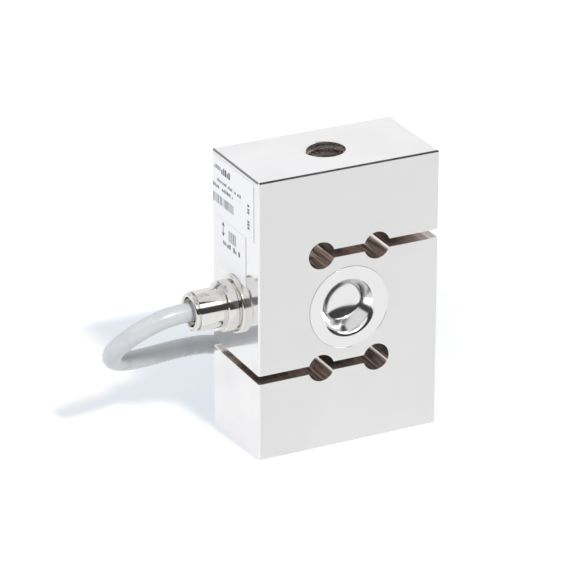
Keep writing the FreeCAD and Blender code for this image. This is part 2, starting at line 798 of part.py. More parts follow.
def make_tail(hank):
    """The cable's last stretch: up out of the hank, once more round on top of it, to the jacket's end."""
    bend, lean = middle_bend, TAIL_LEAN * cable_radius
    route = []
    for angle, inside, below in TAIL_RISE:
        radius = bend - inside * cable_radius
        route.append(on_near_bend(angle, radius, tail_z - below * cable_radius))
    for forward in (3 * lean, straight / 2, straight - 2 * lean):
        route.append(on_hank(forward, -bend, tail_z))
    route[len(TAIL_RISE)] -= left * (lean / 2)
    for angle in TAIL_BEND_ANGLES:
        turn = math.radians(angle)
        out = bend / math.cos(math.radians(22.5))
        route.append(on_hank(straight + out * math.sin(turn), -out * math.cos(turn), tail_z))
    end_along = size("tail_end_along")
    route += [
        on_hank(straight + 4 * lean, bend, tail_z),
        on_hank((straight + end_along) / 2, bend + lean, tail_z),
        on_hank(end_along, bend + lean, tail_z),
    ]
    tail = solid_feature("cable_tail", tube(route, cable_radius, "tail").cut(hank.Shape))
    return tail, route[-1], (route[-1] - route[-2]).normalize()


def make_tie(label, side, forward):
    """A tie round one side of the hank and the tail on top of it, with its head on the inner side."""
    thick, width, head = size("tie_thick"), size("tie_width"), size("tie_head")
    tail_top = tail_z + cable_radius + size("tail_clearance")
    section = [
        (-bundle_half, hank_foot),
        (bundle_half, hank_foot),
        (bundle_half, hank_top),
        (cable_radius, tail_top),
        (-cable_radius, tail_top),
        (-bundle_half, hank_top),
    ]
    start = forward - width / 2
    corners = [on_hank(start, side * middle_bend + across, height) for across, height in section]
    inside = Part.Face(Part.makePolygon(corners + corners[:1]))
    outside = inside.makeOffset2D(thick)
    band = outside.cut(inside).extrude(along * width)
    deep = size("tie_head_deep")
    lock = Part.makeBox(head, deep, head)
    inner = side * (middle_bend - bundle_half)
    lock.Placement = Placement(
        on_hank(forward - head / 2, inner - (deep if side > 0 else 0), hank_top - 2 * head),
        Rotation(Vector(0, 0, 1), size("hank_turned")),
    )
    return solid_feature(label, band.fuse(lock).removeSplitter())


def make_end_sleeve(end, way):
    """The shrunk sleeve over the jacket's end: a tube on the jacket, then a nose that holds the cores."""
    over, nose = size("end_sleeve_overlap"), size("end_sleeve_long -end_sleeve_overlap")
    outside = size("end_sleeve_radius")
    shape = Part.makeCylinder(outside, over, end - way * over, way)
    shape = shape.fuse(Part.makeCone(outside, outside * 0.75, nose, end, way))
    shape = shape.cut(Part.makeCylinder(cable_radius, over, end - way * over, way))
    return solid_feature("end_sleeve", shape), end + way * nose


# Each core's place in the sleeve, across and up, then where its end lies, across and onwards.
CORES = {
    "core_red": (-1.3, -0.6, -9.0, 25.0),
    "core_black": (-0.75, 1.0, -6.2, 28.0),
    "drain_wire": (0.0, -0.45, -3.6, 23.0),
    "core_green": (0.75, 1.0, -1.0, 27.0),
    "core_white": (1.3, -0.6, 2.0, 24.0),
}


# How a core falls from the sleeve to the hank's top: shares of its length, of its spread and of its height.
CORE_FALL = [(0.0, 0.0, 1.0), (0.15, 0.0, 1.0), (0.45, 0.4, 0.5), (0.75, 0.8, 0.03), (1.0, 1.0, 0.0)]


def make_cores(start):
    """The stripped cores fan out on the hank's top, each with a crimped ferrule on its end."""
    rest = hank_top + size("ferrule_radius tail_clearance")
    forward, middle = (start - near_end).dot(along), (start - near_end).dot(left)
    collar, over = size("ferrule_radius"), size("ferrule_overlap")
    pieces, ferrules = [], []
    for label, (across, up, spread, reach) in CORES.items():
        radius = size("drain_radius" if label == "drain_wire" else "wire_radius")
        height = start.z + up
        route = []
        for onward, aside, high in CORE_FALL:
            sideways = middle + across + aside * (spread - across)
            route.append(on_hank(forward - onward * reach, sideways, rest + high * (height - rest)))
        pieces.append(solid_feature(label, tube(route, radius)))
        way = (route[-1] - route[-2]).normalize()
        tip = route[-1] - way * over
        ferrule = Part.makeCylinder(collar, over + 0.3, tip, way)
        ferrule = ferrule.fuse(Part.makeCylinder(radius, size("ferrule_long"), tip, way))
        ferrules.append(ferrule.cut(Part.makeCylinder(radius, over, tip, way)))
    pieces.append(solid_feature("core_ferrules", Part.makeCompound([f.Solids[0] for f in ferrules])))
    return pieces


# ---------------------------------------------------------------------------------------------------
# The whole cell
# ---------------------------------------------------------------------------------------------------
def make_cell():
    """Every sub-part, from the spring body outwards."""
    beam_turn = math.degrees(math.atan2(size("slot_rise"), size("beam_hole_reach")))
    pieces = [make_spring_body(), make_cup("front_sealing_cup", -1), make_cup("rear_sealing_cup", 1)]
    for number, angle in enumerate((beam_turn, 180 - beam_turn, 180 + beam_turn, -beam_turn), start=1):
        pieces.append(make_gauge(f"strain_gauge_{number}", angle))
    pieces += [
        make_terminal_board(),
        make_board_pad(),
        make_gauge_leads(),
        make_trim_resistors(),
        make_gland_body(),
        make_gland_sleeve(),
        make_ring("gland_o_ring", "", "seal_ring_thick", "seal_ring_radius", O_RING_OUTSIDE),
        make_ring("gland_seal", GROMMET_FOOT, "grommet_long", "cable_radius", "cavity_radius"),
        make_ring("gland_clamp_ring", WASHER_FOOT, "washer_thick", CABLE_HOLE, SLEEVE_NOSE),
        make_inner_cable(),
        make_inner_cores(),
        make_type_label(),
        make_serial_label(),
    ]
    lead, hank = make_lead()
    tail, tail_end, tail_way = make_tail(hank)
    end_sleeve, cores_start = make_end_sleeve(tail_end, tail_way)
    pieces += [lead, hank, tail, end_sleeve]
    pieces += make_cores(cores_start)
    pieces.append(make_tie("hank_tie_right", -1, size("right_tie_along")))
    pieces.append(make_tie("hank_tie_left", 1, size("left_tie_along")))
    return pieces


def check(pieces):
    """Stops before anything is written if an object failed or a sub-part has no sound shape."""
    doc.recompute()
    failed = [o.Name for o in doc.Objects if {"Invalid", "Error"} & set(o.State)]
    unsound = [p.Label for p in pieces if p.Shape.isNull() or not p.Shape.isValid() or not p.Shape.Solids]
    if failed or unsound:
        raise RuntimeError(f"failed: {failed}, unsound: {unsound}")


cell = make_cell()
check(cell)
os.makedirs("parts", exist_ok=True)
for piece in cell:
    piece.Shape.exportStep(f"parts/{piece.Label}.step")
print(f"{len(cell)} sub-parts written")
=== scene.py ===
# %% [markdown]
# # An S-type load cell
# A load cell of this kind is a block of stainless steel with two slots, so that it looks like an S from the
# front. A force on its two threads bends the thin beams by the holes, and strain gauges in the sealed bore
# feel it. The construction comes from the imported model, which stays as it is. This lesson adds what that
# model leaves out: finishes, the rounder form of the sealing cups, threads, printed labels, the long cable
# in its tied hank, and a small studio.

import math

import bmesh
import bpy
import numpy as np

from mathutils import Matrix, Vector


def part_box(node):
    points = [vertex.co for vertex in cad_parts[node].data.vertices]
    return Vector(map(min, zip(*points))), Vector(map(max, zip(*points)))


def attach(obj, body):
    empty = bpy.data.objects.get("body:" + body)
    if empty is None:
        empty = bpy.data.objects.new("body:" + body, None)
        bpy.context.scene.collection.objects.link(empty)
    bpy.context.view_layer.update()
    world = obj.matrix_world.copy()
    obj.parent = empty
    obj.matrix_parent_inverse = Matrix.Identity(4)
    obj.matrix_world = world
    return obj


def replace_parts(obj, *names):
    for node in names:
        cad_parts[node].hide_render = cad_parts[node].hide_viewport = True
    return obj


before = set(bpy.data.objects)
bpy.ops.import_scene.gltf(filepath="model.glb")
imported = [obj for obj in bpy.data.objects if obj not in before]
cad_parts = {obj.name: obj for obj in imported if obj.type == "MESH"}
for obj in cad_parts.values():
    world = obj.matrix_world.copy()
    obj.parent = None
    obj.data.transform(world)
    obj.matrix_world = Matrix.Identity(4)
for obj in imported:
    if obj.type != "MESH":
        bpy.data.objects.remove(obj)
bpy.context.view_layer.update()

# %% [markdown]
# All sizes below are in millimetres, as on a drawing. Blender works in metres, so every piece is made in
# millimetres and scaled once, when its mesh is written.

# %% Units and places that come from the model
MM = 0.001


def box_mm(node):
    """The lowest and highest corners of a node, in millimetres."""
    low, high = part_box(node)
    return np.array(low) / MM, np.array(high) / MM


block_low, block_high = box_mm("spring_body")
block_middle = (block_low + block_high) / 2
block_half = (block_high - block_low) / 2
print("block:", np.round(block_high - block_low, 2), "mm")

# %% [markdown]
# ## The camera
# The camera comes first, because it decides how much of the cable is seen. It stands to the left of the
# front face, a little above it. A short lens near by would frame the cell as well, but upright edges would
# then lean together, so the camera stands far away behind a long lens.

# %% Camera
CAMERA_AZIMUTH = -26.234
CAMERA_ELEVATION = 23.916
CAMERA_DISTANCE = 888.2
CAMERA_AIM = (-10.17, 0.0, 39.5)
CAMERA_LENS = 216.9


def direction(azimuth, elevation):
    """The unit vector towards that azimuth, 0 at the front and positive to the right, and elevation."""
    a, e = math.radians(azimuth), math.radians(elevation)
    return Vector((math.cos(e) * math.sin(a), -math.cos(e) * math.cos(a), math.sin(e)))


def set_camera():
    data = bpy.data.cameras.new("camera")
    data.lens = CAMERA_LENS
    data.clip_end = 10.0
    camera = bpy.data.objects.new("camera", data)
    bpy.context.scene.collection.objects.link(camera)
    way = direction(CAMERA_AZIMUTH, CAMERA_ELEVATION)
    camera.location = (Vector(CAMERA_AIM) + way * CAMERA_DISTANCE) * MM
    camera.rotation_euler = (-way).to_track_quat("-Z", "Y").to_euler()
    bpy.context.scene.camera = camera
    return camera


print("camera at", [round(c, 4) for c in set_camera().location])

# %% [markdown]
# ## Helpers for materials
# A finish is a Principled shader with a few numbers, and nodes that vary its roughness, bump or colour over
# the surface. Numbers that are the same all over go straight onto the shader's own sockets.

# %% Node helpers
def linear(red, green, blue):
    """A colour given as screen values from 0 to 255, as the linear values that shaders take."""
    screen = np.array([red, green, blue]) / 255.0
    high = ((screen + 0.055) / 1.055) ** 2.4
    return (*np.where(screen <= 0.04045, screen / 12.92, high), 1.0)


class Finish:
    """A material under construction: its node tree, its shader and short ways to add nodes."""

    def __init__(self, name, colour, **sockets):
        self.material = bpy.data.materials.new(name)
        self.material.use_nodes = True
        self.material.diffuse_color = colour
        self.nodes = self.material.node_tree.nodes
        self.shader = self.nodes["Principled BSDF"]
        self.shader.inputs["Base Color"].default_value = colour
        for socket, value in sockets.items():
            self.shader.inputs[socket.replace("_", " ")].default_value = value
        self.place = self.add("ShaderNodeTexCoord").outputs["Object"]

    def add(self, kind, *inputs, **settings):
        """A node with its settings, and its inputs linked or set in order; None leaves one alone."""
        node = self.nodes.new(kind)
        for key, value in settings.items():
            setattr(node, key, value)
        for socket, value in zip(node.inputs, inputs):
            if isinstance(value, bpy.types.NodeSocket):
                self.material.node_tree.links.new(value, socket)
            elif value is not None:
                socket.default_value = value
        return node

    def link(self, output, socket):
        self.material.node_tree.links.new(output, self.shader.inputs[socket])

    def math(self, operation, *inputs):
        """One arithmetic node."""
        return self.add("ShaderNodeMath", *inputs, operation=operation).outputs[0]

    def stretched(self, scale):
        """Object coordinates times a scale along each axis."""
        return self.add("ShaderNodeVectorMath", self.place, scale, operation="MULTIPLY").outputs[0]

    def noise(self, vector, scale, detail=2.0):
        """Smooth noise around 0.5."""
        return self.add("ShaderNodeTexNoise", vector, None, scale, detail).outputs["Fac"]

    def ranged(self, value, *limits):
        """A value mapped smoothly from the first two limits onto the other two, and held at its ends."""
        return self.add("ShaderNodeMapRange", value, *limits, interpolation_type="SMOOTHSTEP").outputs[0]

    def mixed(self, share, first, second):
        """Two colours mixed."""
        node = self.add("ShaderNodeMix", data_type="RGBA")
        for socket, value in ((0, share), (6, first), (7, second)):
            if isinstance(value, bpy.types.NodeSocket):
                self.material.node_tree.links.new(value, node.inputs[socket])
            else:
                node.inputs[socket].default_value = value
        return node.outputs[2]

    def bump(self, height, distance, strength):
        """Bends the shader's normal by a height; the distance is in millimetres."""
        node = self.add("ShaderNodeBump")
        node.inputs["Strength"].default_value = strength
        node.inputs["Distance"].default_value = distance * MM
        self.material.node_tree.links.new(height, node.inputs["Height"])
        self.link(node.outputs[0], "Normal")


def dress(material, *names):
    """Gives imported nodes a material."""
    for name in names:
        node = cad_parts[name]
        node.data.materials.clear()
        node.data.materials.append(material)
    print(material.name, "on", ", ".join(names))


# %% [markdown]
# ## Ground stainless steel
# The block is ground all over, which leaves fine parallel marks. On the front and the top they run across,
# on the side faces from front to back. A picture of ground steel could show them, but a stretched noise
# needs no file and follows the block's own axes: it is nearly constant along one axis and quick across it.
# The front and the back are satin, the other faces nearly polished, and the broken edges bare bright metal.

# %% Steel
GRAIN_SLOW = 25.0
GRAIN_QUICK = 2600.0
CLOUD_SCALE = 60.0
STEEL_DARK = (0.86, 0.86, 0.87, 1)
STEEL_LIGHT = (0.90, 0.90, 0.91, 1)
STEEL_FRONT = (0.79, 0.79, 0.79, 1)
POLISHED_ROUGH = (0.08, 0.11)
SATIN_ROUGH = (0.46, 0.54)
# Shares of metal: the rest scatters light as a matt grey does, and stands for the finest marks.
POLISHED_METAL = 0.85
SATIN_METAL = 0.55
# The cosine above which a wall counts as facing along an axis.
FACING = 0.9

# %% [markdown]
# The slots and the beam holes are cut by wire and drill, which leaves a warm brown skin with marks from
# front to back. They could be painted face by face, but they all lie inside the block, so the least distance
# to its outer planes picks them out at once. On one side of each beam hole a painted highlight is mixed in:
# walls that face one way get a bright colour that stands in for the lamp's reflection.

# %% Cut walls
CUT_DEPTH = 0.5
CUT_ROUGH = 0.1
CUT_DARK = (0.46, 0.39, 0.355, 1)
CUT_LIGHT = (0.80, 0.75, 0.71, 1)
# Painted highlight: the bright colour mixed onto the beam holes' walls in place of the lamp's reflection.
HOLE_PAINTED_HIGHLIGHT = (0.98, 0.95, 0.92, 1)
# Painted highlight in the beam holes: the way the walls that get it face, and how closely a wall has to face
# that way (cosines).
HOLE_HIGHLIGHT_WAY = (-math.cos(math.radians(18.0)), 0.0, math.sin(math.radians(18.0)))
HOLE_HIGHLIGHT_RANGE = (math.cos(math.radians(11.0)), math.cos(math.radians(6.0)), 0.0, 1.0)


def inside_block(finish, depth):
    """1 for points more than that depth (mm) inside the block's outer planes, 0 on them."""
    centre = tuple(block_middle * MM)
    away = finish.add("ShaderNodeVectorMath", finish.place, centre, operation="SUBTRACT").outputs[0]
    away = finish.add("ShaderNodeVectorMath", away, operation="ABSOLUTE").outputs[0]
    half = tuple(block_half * MM)
    room = finish.add("ShaderNodeVectorMath", half, away, operation="SUBTRACT").outputs[0]
    axes = finish.add("ShaderNodeSeparateXYZ", room)
    least = finish.math("MINIMUM", axes.outputs[0], axes.outputs[1])
    least = finish.math("MINIMUM", least, axes.outputs[2])
    return finish.ranged(least, 0.3 * depth * MM, depth * MM, 0.0, 1.0)


def steel_zones(finish, normal):
    """Masks: the cut walls inside, the front and back, the broken edges, and where marks run backwards."""
    facing = finish.add("ShaderNodeVectorMath", normal, operation="ABSOLUTE").outputs[0]
    x, y, z = finish.add("ShaderNodeSeparateXYZ", facing).outputs
    inside = inside_block(finish, CUT_DEPTH)
    outside = finish.math("SUBTRACT", 1.0, inside)
    front = finish.math("MULTIPLY", finish.math("GREATER_THAN", y, FACING), outside)
    largest = finish.math("MAXIMUM", finish.math("MAXIMUM", x, y), z)
    edges = finish.math("MULTIPLY", finish.math("LESS_THAN", largest, FACING), outside)
    backwards = finish.math("MAXIMUM", finish.math("GREATER_THAN", x, FACING), inside)
    return inside, front, edges, backwards


# %% The block's finish
def make_steel():
    finish = Finish("ground_steel", STEEL_DARK, Metallic=1.0)
    normal = finish.add("ShaderNodeTexCoord").outputs["Normal"]
    inside, front, edges, backwards = steel_zones(finish, normal)
    across = finish.noise(finish.stretched((GRAIN_SLOW, GRAIN_QUICK, GRAIN_QUICK)), 1.0)
    along = finish.noise(finish.stretched((GRAIN_QUICK, GRAIN_SLOW, GRAIN_QUICK)), 1.0)
    grain = finish.add("ShaderNodeMix", backwards, None, across, along).outputs[0]
    cloud = finish.noise(finish.place, CLOUD_SCALE, detail=4.0)
    polished = finish.ranged(cloud, 0.3, 0.7, *POLISHED_ROUGH)
    satin = finish.ranged(cloud, 0.3, 0.7, *SATIN_ROUGH)
    rough = finish.add("ShaderNodeMix", front, None, polished, satin).outputs[0]
    rough = finish.add("ShaderNodeMix", inside, None, rough, CUT_ROUGH).outputs[0]
    finish.link(rough, "Roughness")
    metal = finish.ranged(front, 0.0, 1.0, POLISHED_METAL, SATIN_METAL)
    finish.link(finish.math("MAXIMUM", metal, edges), "Metallic")
    tint = finish.mixed(finish.ranged(cloud, 0.35, 0.65, 0.0, 1.0), STEEL_DARK, STEEL_LIGHT)
    tint = finish.mixed(front, tint, STEEL_FRONT)
    skin = finish.mixed(finish.ranged(grain, 0.45, 0.75, 0.0, 1.0), CUT_DARK, CUT_LIGHT)
    # Painted highlight: walls inside the holes that face one way get a bright colour, in place of the lamp's
    # reflection.
    towards = finish.add("ShaderNodeVectorMath", normal, HOLE_HIGHLIGHT_WAY, operation="DOT_PRODUCT")
    skin = finish.mixed(finish.ranged(towards.outputs["Value"], *HOLE_HIGHLIGHT_RANGE), skin, HOLE_PAINTED_HIGHLIGHT)
    finish.link(finish.mixed(inside, tint, skin), "Base Color")
    finish.bump(grain, 0.004, 0.35)
    return finish.material


dress(make_steel(), "spring_body")

# %% [markdown]
# ## Polished metal
# The sealing cups are drawn from thin sheet and the gland is turned and plated, so both shine. A plain metal
# with one roughness would do from afar, but close by it looks computed. So the roughness wanders a little,
# and the gland has the fine rings of the lathe: a noise that changes quickly along its axis only.

# %% Cups and gland
def make_polished(name, colour, rough, ring_scale=0.0):
    """A shining metal; with a ring scale it has marks that run round the X axis."""
    finish = Finish(name, colour, Metallic=1.0)
    cloud = finish.noise(finish.place, 220.0, detail=3.0)
    finish.link(finish.ranged(cloud, 0.3, 0.7, rough * 0.8, rough * 1.3), "Roughness")
    if ring_scale:
        turning = finish.noise(finish.stretched((ring_scale, 30.0, 30.0)), 1.0)
        finish.bump(turning, 0.002, 0.3)
    else:
        finish.bump(finish.noise(finish.place, 900.0), 0.002, 0.25)
    return finish.material


cup_chrome = make_polished("drawn_cup", (0.83, 0.825, 0.825, 1), 0.13)
gland_chrome = make_polished("turned_gland", (0.78, 0.765, 0.74, 1), 0.11, ring_scale=5000.0)
dress(gland_chrome, "gland_body", "gland_sleeve", "gland_clamp_ring")

# %% [markdown]
# ## Rubber, film and board
# What is sealed inside is plain, but it still gets its own finish: a section view or an exploded drawing of
# the cell shows these pieces.

# %% Plain finishes
def make_plain(name, colour, rough, grain=400.0, depth=0.01, change=0.06, **sockets):
    """A moulded or coated surface: slight changes of colour and a fine bump."""
    finish = Finish(name, colour, **sockets)
    cloud = finish.noise(finish.place, grain / 8, detail=3.0)
    darker = (*[c * (1 - change) for c in colour[:3]], 1.0)
    finish.link(finish.mixed(cloud, darker, colour), "Base Color")
    finish.link(finish.ranged(cloud, 0.3, 0.7, rough * 0.9, rough * 1.1), "Roughness")
    finish.bump(finish.noise(finish.place, grain), depth, 0.4)
    return finish.material


black_rubber = make_plain("nitrile_rubber", (0.02, 0.02, 0.021, 1), 0.55)
dress(black_rubber, "gland_o_ring", "gland_seal")
dress(make_plain("silicone_pad", (0.70, 0.70, 0.67, 1), 0.5), "board_pad")
dress(make_plain("board_green", (0.03, 0.16, 0.05, 1), 0.35, change=0.2), "terminal_board")
dress(make_plain("chip_black", (0.02, 0.02, 0.02, 1), 0.4), "trim_resistors")
dress(make_plain("enamelled_copper", (0.60, 0.24, 0.10, 1), 0.25, Metallic=1.0), "gauge_leads")
gauges = [f"strain_gauge_{i}" for i in range(1, 5)]
dress(make_plain("gauge_film", (0.62, 0.33, 0.06, 1), 0.3, grain=3000.0, change=0.35), *gauges)
dress(make_plain("inner_core_coat", (0.55, 0.03, 0.02, 1), 0.3), "inner_cores")

# %% [markdown]
# ## The cable's jacket
# The jacket is a smooth light grey plastic, a little translucent. A thin clear coat gives the long soft
# highlights along it, and a slow noise makes its gloss uneven, as extruded plastic is.

# %% Jacket
def make_jacket():
    finish = Finish("grey_jacket", linear(198, 203, 208), Coat_Weight=0.35, Coat_Roughness=0.12)
    finish.shader.inputs["Subsurface Weight"].default_value = 0.25
    finish.shader.inputs["Subsurface Radius"].default_value = (1.0, 1.0, 1.0)
    finish.shader.inputs["Subsurface Scale"].default_value = 1.2 * MM
    cloud = finish.noise(finish.place, 140.0, detail=3.0)
    finish.link(finish.mixed(cloud, linear(198, 202, 205), linear(212, 215, 217)), "Base Color")
    finish.link(finish.ranged(cloud, 0.3, 0.7, 0.26, 0.36), "Roughness")
    finish.bump(finish.noise(finish.place, 700.0), 0.01, 0.3)
    return finish.material


jacket = make_jacket()
dress(jacket, "cable_inner")

# %% [markdown]
# ## The cable
# The cable leaves the gland, swings round in one open loop behind the block, and goes into a hank of spare
# length that two ties hold. A mesh tube could be swept along it, but a NURBS curve with a round bevel keeps
# few points and bends smoothly. Its free stretches are a short list of points, and a loop works out the
# hank's turns: each is an oval of two half circles and two straight runs.

# %% The hank's own frame
CABLE_RADIUS = 2.5
HANK_NEAR = np.array([14.0, 41.0])
HANK_TURNED = 65.0
HANK_RUN = 40.0
HANK_FOOT = 0.8
HANK_RADII = (20.0, 15.0, 10.0)
HANK_LAYERS = 5
HANK_TOP = HANK_FOOT + 2 * CABLE_RADIUS * HANK_LAYERS
TAIL_HEIGHT = 28.75
# On a bend: degrees between points, where the lead joins, and where a change of turn is complete.
BEND_STEP = 30.0
LEAD_JOINS = 115.0
CHANGE_ENDS = 110.0

hank_way = np.array([math.cos(math.radians(HANK_TURNED)), math.sin(math.radians(HANK_TURNED))])
hank_left = np.array([-hank_way[1], hank_way[0]])


def on_hank(forward, sideways, height):
    """Points of the hank's frame: along its runs, to the left of its middle line, and up."""
    forward, sideways, height = np.broadcast_arrays(forward, sideways, height)
    flat = HANK_NEAR + forward[..., None] * hank_way + sideways[..., None] * hank_left
    return np.concatenate([flat, height[..., None].astype(float)], axis=-1)


def on_bend(angle, radius, height, far=False):
    """Points of a bend; the angle starts at the bend's own entry, at 0, and leaves it at 180."""
    turn = np.radians(angle)
    if far:
        return on_hank(HANK_RUN + radius * np.sin(turn), -radius * np.cos(turn), height)
    return on_hank(-radius * np.sin(turn), radius * np.cos(turn), height)


# %% The points of the turns
def eased(share):
    """0 below 0, 1 above 1, and 3s^2 - 2s^3 between."""
    share = np.clip(share, 0.0, 1.0)
    return share * share * (3 - 2 * share)


def one_turn(before, after, first_angle=0.0):
    """Control points of a turn: near bend, right run, far bend, left run.

    before and after are (radius, height). The change from one to the other happens on the near bend. The
    points are the corners of a polygon whose sides touch the bend, so the curve follows the bend itself.
    """
    corners = np.arange(BEND_STEP / 2, 180.0, BEND_STEP)
    outward = 1 / math.cos(math.radians(BEND_STEP / 2))
    near = corners[corners > first_angle]
    share = eased(near / CHANGE_ENDS) if first_angle == 0 else np.ones(len(near))
    radius = before[0] + (after[0] - before[0]) * share
    height = before[1] + (after[1] - before[1]) * share
    lead_in = after[0] * math.tan(math.radians(BEND_STEP / 2))
    run = np.array([lead_in, HANK_RUN - lead_in])
    return np.concatenate(
        [
            on_bend(near, radius * outward, height),
            on_hank(run, -after[0], after[1]),
            on_bend(corners, after[0] * outward, after[1], far=True),
            on_hank(run[::-1], after[0], after[1]),
        ]
    )


def winding():
    """Every turn of the hank: three side by side in a layer, outwards in, then inwards out, and so on."""
    places = []
    for layer in range(HANK_LAYERS):
        height = HANK_FOOT + CABLE_RADIUS * (2 * layer + 1)
        radii = HANK_RADII if layer % 2 == 0 else HANK_RADII[::-1]
        places += [(radius, height) for radius in radii]
    turns = [one_turn(places[0], places[0], first_angle=LEAD_JOINS)]
    turns += [one_turn(before, after) for before, after in zip(places, places[1:])]
    return np.concatenate(turns), places[-1]


turns, last_place = winding()
print(f"{HANK_LAYERS * len(HANK_RADII)} turns, {len(turns)} points, last at radius {last_place[0]}")

# %% Lead, hank and tail as one spline
LEAD_ROUTE = [
    (-38.4, 0.0, 38.75),
    (-43.3, 0.0, 38.75),
    (-48.5, 0.5, 37.1),
    (-53.0, 2.3, 34.2),
    (-56.0, 5.2, 30.4),
    (-56.4, 8.4, 26.6),
    (-54.0, 11.8, 23.4),
    (-48.6, 14.8, 21.2),
    (-41.0, 17.6, 20.0),
    (-32.0, 19.8, 19.4),
    (-23.0, 21.2, 18.4),
    (-14.5, 21.3, 15.0),
    (-7.0, 21.2, 10.0),
    (-0.5, 21.1, 6.0),
    (6.0, 21.0, 3.9),
    (12.0, 21.0, 3.3),
]
MIDDLE_BEND = HANK_RADII[1]
TAIL_END = 19.0
TAIL_ASIDE = 0.5
# Angle on the near bend, radius and height of the points that climb onto the hank.
TAIL_RISE = [(10.0, 10.2, 23.5), (40.0, 11.2, 24.2), (85.0, 13.0, 26.0), (130.0, 14.2, 27.9)]
# Then places along the right run, angles on the far bend, and places back along the left run.
TAIL_OUT = (4.0, HANK_RUN / 2, HANK_RUN - 1)
TAIL_BEND = (30.0, 75.0, 120.0, 160.0)
TAIL_BACK = (HANK_RUN - 6, (HANK_RUN + TAIL_END) / 2 + 1, TAIL_END)
# Half the angle between two points on that bend, which lie outside it as on the other bends.
TAIL_HALF_STEP = 22.5


def tail_points():
    """Up out of the innermost turn, once more round on top of the hank, to the jacket's end."""
    points = [on_bend(angle, radius, height) for angle, radius, height in TAIL_RISE]
    points += [on_hank(forward, -MIDDLE_BEND, TAIL_HEIGHT) for forward in TAIL_OUT]
    corner = MIDDLE_BEND / math.cos(math.radians(TAIL_HALF_STEP))
    points += [on_bend(angle, corner, TAIL_HEIGHT, far=True) for angle in TAIL_BEND]
    points += [on_hank(forward, MIDDLE_BEND + TAIL_ASIDE, TAIL_HEIGHT) for forward in TAIL_BACK]
    return np.array(points)


def nurbs(name, points, radius, material, sides=6, steps=6):
    """A round cord along one NURBS curve whose control points are the given points, in millimetres."""
    curve = bpy.data.curves.new(name, "CURVE")
    curve.dimensions = "3D"
    curve.bevel_depth = radius * MM
    curve.bevel_resolution = sides
    curve.resolution_u = steps
    curve.use_fill_caps = True
    curve.twist_mode = "MINIMUM"
    spline = curve.splines.new("NURBS")
    spline.points.add(len(points) - 1)
    flat = np.concatenate([np.asarray(points) * MM, np.ones((len(points), 1))], axis=1)
    spline.points.foreach_set("co", flat.ravel())
    spline.order_u = 3
    spline.use_endpoint_u = True
    curve.materials.append(material)
    piece = bpy.data.objects.new(name, curve)
    bpy.context.scene.collection.objects.link(piece)
    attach(piece, "root")
    return piece


cable_points = np.concatenate([np.array(LEAD_ROUTE), turns, tail_points()])
cable = nurbs("signal_cable", cable_points, CABLE_RADIUS, jacket, sides=7)
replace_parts(cable, "cable_lead", "cable_hank", "cable_tail")
print("cable from", len(cable_points), "points")

# %% [markdown]
# ## Surfaces from formulas
# Every new mesh is a grid of points worked out at once with numpy. Neighbours in the grid become faces, and
# a direction that closes on itself, such as the way round a ring, gets a last row of faces back to its
# start. Points that fall together, as on an axis, are merged afterwards, so that every surface is closed.

# %% Grid to mesh
def grid_faces(rows, columns, round_rows=False, round_columns=False):
    """Four-sided faces between neighbours of a grid of points, rows by columns."""
    i = np.arange(rows if round_rows else rows - 1)[:, None]
    j = np.arange(columns if round_columns else columns - 1)[None, :]
    i_next, j_next = (i + 1) % rows, (j + 1) % columns
    corners = [i * columns + j, i_next * columns + j, i_next * columns + j_next, i * columns + j_next]
    return np.stack(np.broadcast_arrays(*corners), axis=-1).reshape(-1, 4)


def mesh_piece(name, points, faces, material, smooth=True, weld=0.0):
    """A mesh object from points in millimetres; weld merges points closer than that."""
    mesh = bpy.data.meshes.new(name)
    mesh.from_pydata((np.asarray(points).reshape(-1, 3) * MM).tolist(), [], [list(f) for f in faces])
    if weld:
        work = bmesh.new()
        work.from_mesh(mesh)
        bmesh.ops.remove_doubles(work, verts=work.verts, dist=weld * MM)
        bmesh.ops.dissolve_degenerate(work, edges=work.edges, dist=weld * MM * 0.5)
        bmesh.ops.recalc_face_normals(work, faces=work.faces)
        work.to_mesh(mesh)
        work.free()
    mesh.polygons.foreach_set("use_smooth", [smooth] * len(mesh.polygons))
    mesh.materials.append(material)
    piece = bpy.data.objects.new(name, mesh)
    bpy.context.scene.collection.objects.link(piece)
    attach(piece, "root")
    return piece


# %% [markdown]
# ## The sealing cups
# Each end of the gauge bore is closed by a thin cup that is drawn from sheet: a flat flange, a round lip, a
# wall that leans in, and a floor that is part of a ball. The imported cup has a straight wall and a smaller
# lip, so this one takes its place. A Subdivision Surface on a rough profile would round it too, but the
# polish shows every change of slope. So the profile is made of true arcs, and its points are turned about
# the bore's axis.

# %% Cup profile
CUP_LIP_START = 8.57
CUP_LIP_ROUND = 1.8
CUP_WALL_SLOPE = math.radians(63.0)
CUP_WALL_RUN = 3.46
CUP_CORNER = 1.2
CUP_FLOOR_BALL = 10.4
CUP_SHEET = 0.6
CUP_BREAK = 0.04
CUP_COLUMNS = 144
# Points on the lip, the wall, the corner and the floor.
CUP_STEPS = (22, 8, 14, 26)


